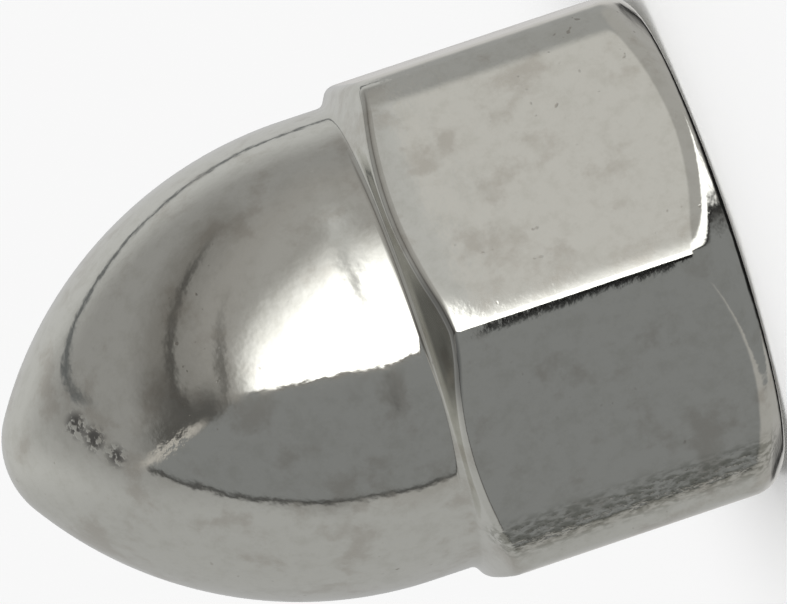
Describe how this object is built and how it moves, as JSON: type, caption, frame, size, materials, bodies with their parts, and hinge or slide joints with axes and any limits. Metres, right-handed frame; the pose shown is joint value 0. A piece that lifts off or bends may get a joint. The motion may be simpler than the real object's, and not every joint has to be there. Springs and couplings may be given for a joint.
{
  "type": "cap nut",
  "caption": "One-piece hexagon cap nut with a tall pointed crown that covers the end of the thread.",
  "frame": {"origin": "centre of the bearing face, where the thread's axis meets it", "axes": "+Z along the thread's axis towards the crown's tip; +X out of one flat of the hexagon"},
  "size_m": [0.0126, 0.0144, 0.0182],
  "materials": {
    "bright_plating": "bright plating on steel, polished but slightly rippled, with fine pits and faint smudges"
  },
  "bodies": {
    "root": {"cap_nut": "bright_plating"}
  },
  "joints": []
}
